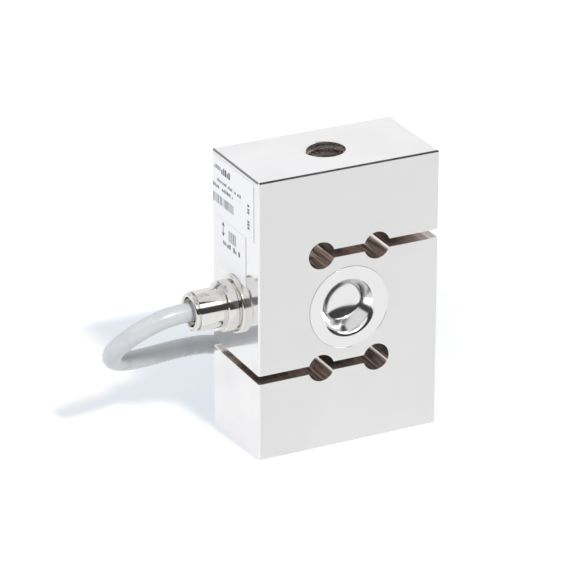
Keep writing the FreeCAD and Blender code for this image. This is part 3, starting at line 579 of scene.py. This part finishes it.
def cup_profile(rim):
    """Radius, depth and slope along the sheet's outer side, from the rim to the axis.

    Along an arc of radius q the slope b changes, the radius falls by q times the change of sin(b), and the
    depth grows by q times the change of cos(b). The floor's ball ends where its slope meets the corner's.
    """
    lean, ball = CUP_WALL_SLOPE, CUP_FLOOR_BALL
    lip_steps, wall_steps, corner_steps, floor_steps = CUP_STEPS
    flat = np.array([rim, rim - 0.03, rim - 0.06, (rim + CUP_LIP_START) / 2, CUP_LIP_START + 0.05])
    lip = np.linspace(0.0, lean, lip_steps)
    wall_top = (CUP_LIP_START - CUP_LIP_ROUND * math.sin(lean), CUP_LIP_ROUND * (1 - math.cos(lean)))
    run = np.linspace(0.0, CUP_WALL_RUN, wall_steps)[1:-1]
    wall_end = wall_top[0] - CUP_WALL_RUN * math.cos(lean), wall_top[1] + CUP_WALL_RUN * math.sin(lean)
    floor_edge = (wall_end[0] - CUP_CORNER * math.sin(lean)) / (1 - CUP_CORNER / ball)
    floor_slope = math.asin(floor_edge / ball)
    corner = np.linspace(lean, floor_slope, corner_steps)
    floor = np.linspace(floor_slope, 0.0, floor_steps)[1:]
    edge_depth = wall_end[1] + CUP_CORNER * (math.cos(floor_slope) - math.cos(lean))
    radius = [
        flat,
        CUP_LIP_START - CUP_LIP_ROUND * np.sin(lip),
        wall_top[0] - run * math.cos(lean),
        wall_end[0] - CUP_CORNER * (math.sin(lean) - np.sin(corner)),
        ball * np.sin(floor),
    ]
    depth = [
        0 * flat,
        CUP_LIP_ROUND * (1 - np.cos(lip)),
        wall_top[1] + run * math.sin(lean),
        wall_end[1] + CUP_CORNER * (np.cos(corner) - math.cos(lean)),
        edge_depth + ball * (np.cos(floor) - math.cos(floor_slope)),
    ]
    slope = [0 * flat, lip, 0 * run + lean, corner, floor]
    return np.concatenate(radius), np.concatenate(depth), np.concatenate(slope)


# %% Cups
def make_cup(node, outward):
    """The profile and its copy one sheet thickness behind it, turned about Y; outward is -1 in front."""
    low, high = box_mm(node)
    rim, face = (high[0] - low[0]) / 2, low[1] if outward < 0 else high[1]
    axis_x, axis_z = (low[0] + high[0]) / 2, (low[2] + high[2]) / 2
    radius, depth, slope = cup_profile(rim)
    print(node, "is", round(float(depth.max()), 2), "mm deep")
    behind_radius = np.minimum(radius + CUP_SHEET * np.sin(slope), rim)
    behind_depth = depth + CUP_SHEET * np.cos(slope)
    radius = np.concatenate([radius[::-1], [rim, rim], behind_radius])
    depth = np.concatenate([depth[::-1], [CUP_BREAK, CUP_SHEET - CUP_BREAK], behind_depth])
    angle = np.arange(CUP_COLUMNS) * 2 * math.pi / CUP_COLUMNS
    points = np.stack(
        np.broadcast_arrays(
            axis_x + radius[:, None] * np.cos(angle),
            face - outward * depth[:, None],
            axis_z + radius[:, None] * np.sin(angle),
        ),
        axis=-1,
    )
    faces = grid_faces(*points.shape[:2], round_columns=True)
    cup = mesh_piece(f"{node}_shell", points, faces, cup_chrome, weld=0.003)
    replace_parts(cup, node)


make_cup("front_sealing_cup", -1)
make_cup("rear_sealing_cup", 1)

# %% [markdown]
# ## The threads
# Both ends of the block have an M12 thread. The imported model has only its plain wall, at the thread's major
# radius. A Screw modifier could turn a tooth into a ridge, but its end would stick out of the face. Here the
# ridges are a sleeve whose inner radius depends on height and angle: the profile of the thread, moved up by
# one pitch for each turn. Where the sleeve meets the block's face the ridge is cut off flush.

# %% Threads
THREAD_MAJOR = 6.0
THREAD_MINOR = 5.05
THREAD_PITCH = 1.75
THREAD_LONG = 14.0
THREAD_FADE = 2.0
THREAD_COLUMNS = 120
# Half the crest and the start of the root, in pitches from the crest's middle.
CREST_HALF = 0.125
ROOT_START = 0.4375
# Where the profile has its corners, and a few places on the flanks, in pitches.
THREAD_LEVELS = (0.0, 0.0625, 0.17, 0.27, 0.375, 0.5, 0.625, 0.73, 0.83, 0.9375)
# The rows begin a pitch outside the mouth and end past the last turn, and are held within the sleeve.
THREAD_ROWS = np.arange(-1, 10)
SLEEVE_OUTSIDE = 6.015
FACE_GAP = 0.004


def thread_radius(height, turn):
    """Minor radius on the crest, a quarter pitch wide; major on the root; straight flanks between.

    The place within the pitch is height / pitch - turn, so the same profile climbs as the angle grows.
    """
    within = (height / THREAD_PITCH - turn) % 1.0
    from_crest = np.abs(within - 0.5)
    flank = np.clip((from_crest - CREST_HALF) / (ROOT_START - CREST_HALF), 0.0, 1.0)
    return THREAD_MINOR + (THREAD_MAJOR - THREAD_MINOR) * flank


def make_thread(name, mouth, inward, start_turn):
    """A closed sleeve from the mouth inwards; inward is -1 where the hole goes down, 1 where it goes up."""
    turn = np.arange(THREAD_COLUMNS + 1) / THREAD_COLUMNS
    depths = (THREAD_ROWS[:, None] + np.array(THREAD_LEVELS)).ravel() * THREAD_PITCH
    depth = depths[:, None] + turn[None, :] * THREAD_PITCH
    depth = np.clip(depth, 0.0, THREAD_LONG)
    radius = thread_radius(depth, np.broadcast_to(turn, depth.shape))
    fade = eased((THREAD_LONG - depth) / THREAD_FADE)
    radius = THREAD_MAJOR - (THREAD_MAJOR - radius) * fade
    ends = np.array([THREAD_LONG, 0.0])[:, None] + np.zeros(THREAD_COLUMNS + 1)
    depth = np.concatenate([depth, ends])
    radius = np.concatenate([radius, np.full(ends.shape, SLEEVE_OUTSIDE)])
    angle = (turn + start_turn) * 2 * math.pi
    height = mouth + inward * (depth + FACE_GAP)
    points = np.stack([radius * np.cos(angle), radius * np.sin(angle) * -inward, height], axis=-1)
    faces = grid_faces(*depth.shape, round_rows=True)
    return mesh_piece(name, points, faces, thread_steel, smooth=False, weld=0.002)


thread_steel = make_polished("cut_thread", (0.90, 0.86, 0.84, 1), 0.22)
upper = make_thread("upper_thread_ridges", block_high[2], -1, 0.5)
lower = make_thread("lower_thread_ridges", block_low[2], 1, 0.25)
print("thread faces:", len(upper.data.polygons), len(lower.data.polygons))

# %% [markdown]
# ## The labels
# Two foil labels are stuck on the side with the gland. They carry rows of small print and fields of bars,
# here plain marks that say nothing, and an arrow for the two ways the cell may be loaded. An image could
# carry them, but it would need a file and blur close by. So each mark is a thin slab of ink on the foil.

# %% Foil and ink
foil = make_plain("label_foil", (0.96, 0.96, 0.965, 1), 0.3, grain=1500.0, depth=0.004, change=0.02)
ink = make_plain("label_ink", (0.06, 0.06, 0.075, 1), 0.5, grain=1500.0, depth=0.004)
grey_ink = make_plain("label_ink_grey", (0.30, 0.32, 0.36, 1), 0.5, grain=1500.0, depth=0.004)
dress(foil, "type_label", "serial_label")
INK_THICK = 0.02


def slabs(outlines, back, thick):
    """Flat slabs on the left face: each outline is a list of (y, z) corners, thickened towards -X."""
    points, faces, start = [], [], 0
    for outline in outlines:
        count = len(outline)
        for x in (back, back - thick):
            points += [(x, y, z) for y, z in outline]
        faces.append([start + i for i in range(count)])
        faces.append([start + count + i for i in reversed(range(count))])
        for i in range(count):
            after = (i + 1) % count
            faces.append([start + i, start + count + i, start + count + after, start + after])
        start += 2 * count
    return points, faces


def bar(y_from, y_to, z_from, z_to):
    """The outline of an upright rectangle."""
    return [(y_from, z_from), (y_to, z_from), (y_to, z_to), (y_from, z_to)]


def words(y_start, y_end, foot, height, seed, gap=0.35):
    """A row of small marks of uneven width, from back to front, that looks like print from afar."""
    random = np.random.default_rng(seed)
    marks, y = [], y_start
    while y > y_end:
        width = height * random.uniform(0.25, 0.6)
        if random.random() < 0.82:
            tall = height * random.choice([0.7, 1.0])
            marks.append(bar(y, y - width, foot, foot + tall))
        y -= width + gap * height
    return marks


def stripes(y_start, y_end, foot, top, seed, finest=0.16):
    """A field of upright bars of a few widths."""
    random = np.random.default_rng(seed)
    marks, y = [], y_start
    while y > y_end:
        width = finest * random.choice([1, 2, 3])
        marks.append(bar(y, y - width, foot, top))
        y -= width + finest * random.choice([1, 2, 3])
    return marks


def double_arrow(y, foot, top, wide=0.28, head=0.8):
    """An upright arrow with a head at both ends."""
    return [
        (y, foot),
        (y + head, foot + 1.4 * head),
        (y + wide / 2, foot + 1.2 * head),
        (y + wide / 2, top - 1.2 * head),
        (y + head, top - 1.4 * head),
        (y, top),
        (y - head, top - 1.4 * head),
        (y - wide / 2, top - 1.2 * head),
        (y - wide / 2, foot + 1.2 * head),
        (y - head, foot + 1.4 * head),
    ]


# %% Print on the foil
def make_print(name, outlines, label, material):
    """The outlines as slabs of ink on a label's outer face."""
    foil_x = box_mm(label)[0][0]
    points, faces = slabs(outlines, foil_x, INK_THICK)
    return mesh_piece(name, points, faces, material, smooth=False, weld=0.0005)


# The feet of the short upright rows by the front edge of the upper label.
SIDE_FEET = (62.1, 63.0, 63.8, 66.2, 67.0, 68.1)
type_rows = (
    words(13.0, 8.2, 71.8, 1.1, 1)
    + words(7.4, 3.2, 71.3, 1.8, 2, gap=0.2)
    + words(10.0, -4.0, 68.6, 0.9, 3)
    + words(12.4, 1.2, 66.7, 0.9, 4)
    + [bar(-7.6, -8.7, foot, foot + 0.55) for foot in SIDE_FEET]
)
make_print("type_label_print", type_rows, "type_label", ink)
make_print("type_label_bars", stripes(12.4, 0.8, 62.6, 65.0, 7), "type_label", grey_ink)
serial_rows = [double_arrow(6.6, 54.6, 58.6)]
serial_rows += words(7.4, 5.0, 52.5, 1.0, 8) + words(4.2, -3.0, 52.4, 1.3, 9)
make_print("serial_label_print", serial_rows, "serial_label", ink)
make_print("serial_label_bars", stripes(3.4, -1.2, 54.4, 57.4, 10), "serial_label", grey_ink)
print("marks:", len(type_rows), "on the upper label,", len(serial_rows), "on the lower one")

# %% [markdown]
# ## The ties
# A tie's strap lies tightly round a side of the hank and the tail on top of it. It could be a cloth shrunk
# onto the strands, but its outline is simply that of a string pulled round a few circles: in each direction
# it touches the circle that reaches furthest that way. The strap's section is a flat rounded bar. Its head
# is a small block with rounded edges on the hank's inner side, and the cut end stands up from it.

# %% Ties
TIE_THICK = 0.8
TIE_WIDE = 2.5
TIE_HEAD = (2.0, 1.45, 2.0)
TIE_STUB = (1.2, 0.42, 2.6)
HEAD_INSIDE = 3 * CABLE_RADIUS + 1.5
HEAD_HEIGHT = HANK_TOP - 6.0
STUB_ASIDE = 0.5
STUB_RISE = 3.4
STRAP_COLUMNS = 160
SECTION_COLUMNS = 16
TIE_PLACES = {"hank_tie_right": (-1, 14.0), "hank_tie_left": (1, 34.0)}
tie_nylon = make_plain("tie_nylon", (0.74, 0.74, 0.71, 1), 0.35, grain=500.0, Coat_Weight=0.1)


def strap_outline(angle, gap):
    """Points of a string round the bundle's corner strands and the tail, the gap away from them.

    For the direction n at each angle: the centre c with the largest c.n, plus (radius + gap) times n.
    """
    low, high = HANK_FOOT + CABLE_RADIUS, HANK_TOP - CABLE_RADIUS
    out = 2 * CABLE_RADIUS
    centres = np.array([(-out, low), (out, low), (out, high), (-out, high), (TAIL_ASIDE, TAIL_HEIGHT)])
    way = np.stack([np.cos(angle), np.sin(angle)], axis=-1)
    return centres[np.argmax(way @ centres.T, axis=1)] + (CABLE_RADIUS + gap) * way


def rounded_block(half, power=6.0, steps=24):
    """A block with soft edges: a ball's points pushed out until |x|^p + |y|^p + |z|^p = 1, then scaled."""
    across = np.linspace(0, math.pi, steps)[:, None]
    about = np.arange(2 * steps)[None, :] * math.pi / steps
    ball = np.stack(
        np.broadcast_arrays(np.sin(across) * np.cos(about), np.sin(across) * np.sin(about), np.cos(across)),
        axis=-1,
    )
    size = (np.abs(ball) ** power).sum(axis=-1, keepdims=True) ** (1 / power)
    return ball / size * np.array(half), grid_faces(steps, 2 * steps, round_columns=True)


def make_tie(name, side, forward):
    """The strap: each outline point moved along the run and outwards by a flat rounded section."""
    angle = np.arange(STRAP_COLUMNS) * 2 * math.pi / STRAP_COLUMNS
    section = np.arange(SECTION_COLUMNS) * 2 * math.pi / SECTION_COLUMNS
    bulge = np.stack([np.cos(section), np.sin(section)], axis=-1)
    bulge = np.sign(bulge) * np.abs(bulge) ** 0.35
    along = forward + bulge[:, 0] * TIE_WIDE / 2
    gap = TIE_THICK * (0.5 + bulge[:, 1] * 0.49)
    ring = np.stack([strap_outline(angle, g) for g in gap], axis=1)
    strap = on_hank(np.broadcast_to(along, ring.shape[:2]), side * MIDDLE_BEND + ring[..., 0], ring[..., 1])
    strap_faces = grid_faces(STRAP_COLUMNS, SECTION_COLUMNS, round_rows=True, round_columns=True)
    head, head_faces = rounded_block(TIE_HEAD)
    stub, stub_faces = rounded_block(TIE_STUB, power=9.0, steps=16)
    out = side * (MIDDLE_BEND - HEAD_INSIDE)
    stub = stub + np.array([0.0, -side * STUB_ASIDE, STUB_RISE])
    head, stub = (
        on_hank(forward + block[..., 0], out + block[..., 1], HEAD_HEIGHT + block[..., 2])
        for block in (head, stub)
    )
    head_faces = head_faces + strap.size // 3
    stub_faces = stub_faces + strap.size // 3 + head.size // 3
    points = np.concatenate([piece.reshape(-1, 3) for piece in (strap, head, stub)])
    faces = np.concatenate([strap_faces, head_faces, stub_faces])
    tie = mesh_piece(f"{name}_strap", points, faces, tie_nylon, weld=0.003)
    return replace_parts(tie, name)


ties = [make_tie(name, *place) for name, place in TIE_PLACES.items()]

# %% [markdown]
# ## The bare end
# The cable ends in five stripped wires: four insulated cores and the screen's drain wire, gathered by a
# shrunk sleeve and each crimped in a ferrule. They could be bent tubes of mesh, but as curves with a few
# points, like the cable, they fall in one smooth line.

# %% Wires
# Place in the sleeve across and up, place across at the tip, length, and colour.
WIRES = {
    "core_red": (-1.3, -0.6, -9.0, 25.0, (0.52, 0.02, 0.02, 1)),
    "core_black": (-0.75, 1.0, -6.2, 28.0, (0.02, 0.02, 0.02, 1)),
    "drain_wire": (0.0, -0.45, -3.6, 23.0, (0.70, 0.70, 0.71, 1)),
    "core_green": (0.75, 1.0, -1.0, 27.0, (0.02, 0.22, 0.06, 1)),
    "core_white": (1.3, -0.6, 2.0, 24.0, (0.80, 0.80, 0.78, 1)),
}
WIRE_RADIUS = 0.6
DRAIN_RADIUS = 0.4
SLEEVE_NOSE = 6.0
REST_HEIGHT = HANK_TOP + 0.9
# Shares along a wire: of its length, of its way aside, and of its height that is left.
WIRE_FALL = [(0.0, 0.0, 1.0), (0.15, 0.0, 1.0), (0.45, 0.4, 0.5), (0.75, 0.8, 0.03), (1.0, 1.0, 0.0)]


def wire_points(across, up, spread, reach):
    """From the sleeve's nose the wires fan out and sink onto the hank's top."""
    onward, aside, high = np.array(WIRE_FALL).T
    sideways = MIDDLE_BEND + TAIL_ASIDE + across + aside * (spread - across)
    height = REST_HEIGHT + high * (TAIL_HEIGHT + up - REST_HEIGHT)
    return on_hank(TAIL_END - SLEEVE_NOSE - onward * reach, sideways, height)


def make_wire(name, across, up, spread, reach, colour):
    """One wire; the drain wire is bare metal and a little thinner."""
    bare = name == "drain_wire"
    coat = make_plain(f"{name}_coat", colour, 0.3, grain=900.0, Metallic=1.0 if bare else 0.0)
    points = wire_points(across, up, spread, reach)
    wire = nurbs(f"{name}_wire", points, DRAIN_RADIUS if bare else WIRE_RADIUS, coat, sides=4, steps=12)
    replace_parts(wire, name)
    return wire


wires = [make_wire(name, *facts) for name, facts in WIRES.items()]
tinned = make_plain("tinned_copper", (0.72, 0.72, 0.73, 1), 0.3, grain=1200.0, Metallic=1.0)
shrunk = make_plain("shrink_sleeve", (0.015, 0.015, 0.016, 1), 0.42, grain=350.0, depth=0.03)
dress(tinned, "core_ferrules")
dress(shrunk, "end_sleeve")

# %% [markdown]
# ## The studio
# The floor is a large white sheet with a brighter backdrop. Stronger lamps could make it pure white, but
# they would bleach the cell too. So for rays from the camera part of its white glows by itself, which keeps
# the soft shadow. Polished metal shows its surroundings, so rays from reflections see a floor and a sky
# with a few darker fields, as in a room with lamps and dark corners.

# %% Floor
FLOOR_HALF = 3000.0
# How far back the brighter backdrop begins and is full, in metres, and the light before and after.
BACKDROP_RANGE = (0.080, 0.094, 1.0, 2.4)
# The sheet's colour and its own light, for matt surfaces, for the camera and for reflections.
SHEET_PLAIN = (0.85, 0.85, 0.86, 1), (0, 0, 0, 1)
SHEET_SEEN = (0.86, 0.76, 0.56, 1), (0.28, 0.37, 0.53, 1)
SHEET_MIRRORED = (0.12, 0.12, 0.12, 1), (0.90, 0.90, 0.90, 1)


def light_path_mix(tree, output, first, second):
    """Mixes two shaders by one of the Light Path's tests: the second where the test is true."""
    path = tree.nodes.new("ShaderNodeLightPath")
    mix = tree.nodes.new("ShaderNodeMixShader")
    tree.links.new(path.outputs[output], mix.inputs[0])
    tree.links.new(first, mix.inputs[1])
    tree.links.new(second, mix.inputs[2])
    return mix.outputs[0]


def sheet_shader(tree, colour, light, strength=None):
    """A matt sheet that glows with its own light; a strength socket varies that."""
    matt = tree.nodes.new("ShaderNodeBsdfDiffuse")
    matt.inputs[0].default_value = colour
    shine = tree.nodes.new("ShaderNodeEmission")
    shine.inputs[0].default_value = light
    if strength:
        tree.links.new(strength, shine.inputs[1])
    both = tree.nodes.new("ShaderNodeAddShader")
    tree.links.new(matt.outputs[0], both.inputs[0])
    tree.links.new(shine.outputs[0], both.inputs[1])
    return both.outputs[0]


def backdrop_glow(tree):
    """The same light all round the cell, and more of it further back, as on a lit backdrop."""
    place = tree.nodes.new("ShaderNodeTexCoord").outputs["Object"]
    axes = tree.nodes.new("ShaderNodeSeparateXYZ")
    tree.links.new(place, axes.inputs[0])
    share = tree.nodes.new("ShaderNodeMapRange")
    share.interpolation_type = "SMOOTHSTEP"
    for socket, value in zip(("From Min", "From Max", "To Min", "To Max"), BACKDROP_RANGE):
        share.inputs[socket].default_value = value
    tree.links.new(axes.outputs[1], share.inputs["Value"])
    return share.outputs[0]


def make_floor():
    """One large square with a shader for each kind of ray."""
    side = FLOOR_HALF
    corners = [(-side, -side, 0), (side, -side, 0), (side, side, 0), (-side, side, 0)]
    mesh = bpy.data.meshes.new("floor")
    mesh.from_pydata([tuple(np.array(c) * MM) for c in corners], [], [(0, 1, 2, 3)])
    floor = bpy.data.objects.new("floor", mesh)
    bpy.context.scene.collection.objects.link(floor)
    paper = bpy.data.materials.new("white_paper")
    paper.use_nodes = True
    tree = paper.node_tree
    tree.nodes.clear()
    plain = sheet_shader(tree, *SHEET_PLAIN)
    seen = sheet_shader(tree, *SHEET_SEEN, backdrop_glow(tree))
    mirrored = sheet_shader(tree, *SHEET_MIRRORED)
    shader = light_path_mix(tree, "Is Camera Ray", plain, seen)
    shader = light_path_mix(tree, "Is Glossy Ray", shader, mirrored)
    out = tree.nodes.new("ShaderNodeOutputMaterial")
    tree.links.new(shader, out.inputs[0])
    mesh.materials.append(paper)
    return floor


make_floor()

# %% [markdown]
# The sky has three faces too. The camera sees plain white, matt surfaces see a soft light that is stronger
# from the left, and reflections see a room. A real room could be modelled round the cell, but steps along
# the height and the way of a ray give the same dark fields, and they change no other light.

# %% Sky and lamp
# Dark panels: direction, sure within, gone beyond (degrees), brightness.
SKY_PANELS = [
    (direction(45.0, 55.0), 5.0, 10.0, 0.06),
    (direction(-153.7, 24.0), 8.0, 16.0, 0.28),
]
# Heights on the unit sphere: the dark room ends, the light begins, it ends, the grey ceiling begins.
SKY_HEIGHTS = (0.50, 0.57, 0.90, 0.93)
SKY_SEEN = (1, 1, 1, 1)
SKY_MATT = (0.97, 0.98, 1.0, 1)
SKY_MIRRORED = (1.0, 0.995, 1.0, 1)
ROOM_LEVEL = 0.05
CEILING_LEVEL = 0.45
SKY_LEVEL = 0.98
LAMP_LEVEL = 2.2
# Also on that sphere: how far ahead the room begins and is full, and the lamp, ahead and to the right.
ROOM_AHEAD = (-0.45, -0.25)
LAMP_AHEAD = (0.0, 0.15)
LAMP_RIGHT = (0.27, 0.37)
# Matt surfaces: the level all round, the level from the left, and where that begins and is full.
MATT_LEVEL = 0.45
MATT_LEFT = 1.50
MATT_TURN = (0.3, 0.9)
SUN_POWER = 1.6
SUN_SPREAD = 6.0
SUN_PLACE = (6.5, 45.5)
SUN_COLOUR = (1.0, 0.985, 0.96)


def sky_math(tree, operation, *inputs):
    """One arithmetic node whose inputs are sockets or numbers."""
    node = tree.nodes.new("ShaderNodeMath")
    node.operation = operation
    for socket, value in zip(node.inputs, inputs):
        if isinstance(value, float):
            socket.default_value = value
        else:
            tree.links.new(value, socket)
    return node.outputs[0]


def sky_towards(tree, way, centre):
    """The cosine of the angle between a ray's way and a direction."""
    node = tree.nodes.new("ShaderNodeVectorMath")
    node.operation = "DOT_PRODUCT"
    tree.links.new(way, node.inputs[0])
    node.inputs[1].default_value = centre
    return node.outputs["Value"]


def sky_step(tree, value, start, end):
    """0 below the start, 1 above the end, smooth between."""
    share = tree.nodes.new("ShaderNodeMapRange")
    share.interpolation_type = "SMOOTHSTEP"
    share.inputs["From Min"].default_value = start
    share.inputs["From Max"].default_value = end
    tree.links.new(value, share.inputs["Value"])
    return share.outputs[0]


def sky_mix(tree, share, before, after):
    """One level where the share is 0, the other where it is 1."""
    mix = tree.nodes.new("ShaderNodeMix")
    for socket, value in zip((mix.inputs[0], mix.inputs[2], mix.inputs[3]), (share, before, after)):
        if isinstance(value, float):
            socket.default_value = value
        else:
            tree.links.new(value, socket)
    return mix.outputs[0]


def mirrored_sky(tree):
    """What reflections see: a dark room low in front, a broad lamp over it, a grey ceiling, dark panels."""
    way = tree.nodes.new("ShaderNodeTexCoord").outputs["Generated"]
    axes = tree.nodes.new("ShaderNodeSeparateXYZ")
    tree.links.new(way, axes.inputs[0])
    right, back, up = axes.outputs
    ahead = sky_math(tree, "MULTIPLY", back, -1.0)
    room_end, lamp_start, lamp_end, ceiling = SKY_HEIGHTS
    low = sky_math(tree, "SUBTRACT", 1.0, sky_step(tree, up, room_end, lamp_start))
    room = sky_math(tree, "MULTIPLY", low, sky_step(tree, ahead, *ROOM_AHEAD))
    lamp = sky_math(tree, "MULTIPLY", sky_step(tree, ahead, *LAMP_AHEAD), sky_step(tree, right, *LAMP_RIGHT))
    level = sky_mix(tree, lamp, SKY_LEVEL, LAMP_LEVEL)
    level = sky_mix(tree, sky_step(tree, up, lamp_end, ceiling), level, CEILING_LEVEL)
    level = sky_mix(tree, room, level, ROOM_LEVEL)
    for centre, sure, gone, brightness in SKY_PANELS:
        near = sky_towards(tree, way, centre)
        share = sky_step(tree, near, math.cos(math.radians(gone)), math.cos(math.radians(sure)))
        level = sky_mix(tree, share, level, brightness)
    return level


def matt_sky(tree):
    """How bright matt surfaces see the sky: more from the left, where the side with the labels looks."""
    way = tree.nodes.new("ShaderNodeTexCoord").outputs["Generated"]
    left = sky_towards(tree, way, (-1.0, 0.0, 0.0))
    return sky_mix(tree, sky_step(tree, left, *MATT_TURN), MATT_LEVEL, MATT_LEFT)


def make_sky():
    """White for the camera, soft and plain for matt surfaces, white with dark fields for reflections."""
    world = bpy.data.worlds.new("studio")
    bpy.context.scene.world = world
    world.use_nodes = True
    tree = world.node_tree
    tree.nodes.clear()
    seen, matt, mirrored = (tree.nodes.new("ShaderNodeBackground") for _ in range(3))
    for node, colour in ((seen, SKY_SEEN), (matt, SKY_MATT), (mirrored, SKY_MIRRORED)):
        node.inputs[0].default_value = colour
    tree.links.new(matt_sky(tree), matt.inputs[1])
    tree.links.new(mirrored_sky(tree), mirrored.inputs[1])
    shader = light_path_mix(tree, "Is Camera Ray", matt.outputs[0], seen.outputs[0])
    shader = light_path_mix(tree, "Is Glossy Ray", shader, mirrored.outputs[0])
    out = tree.nodes.new("ShaderNodeOutputWorld")
    tree.links.new(shader, out.inputs[0])


def make_sun():
    """The key light comes from nearly straight ahead, halfway up, and its shadows have soft edges."""
    lamp = bpy.data.lights.new("key_light", "SUN")
    lamp.energy = SUN_POWER
    lamp.angle = math.radians(SUN_SPREAD)
    lamp.color = SUN_COLOUR
    sun = bpy.data.objects.new("key_light", lamp)
    bpy.context.scene.collection.objects.link(sun)
    sun.rotation_euler = (-direction(*SUN_PLACE)).to_track_quat("-Z", "Y").to_euler()


make_sky()
make_sun()
bpy.context.scene.view_settings.view_transform = "Standard"
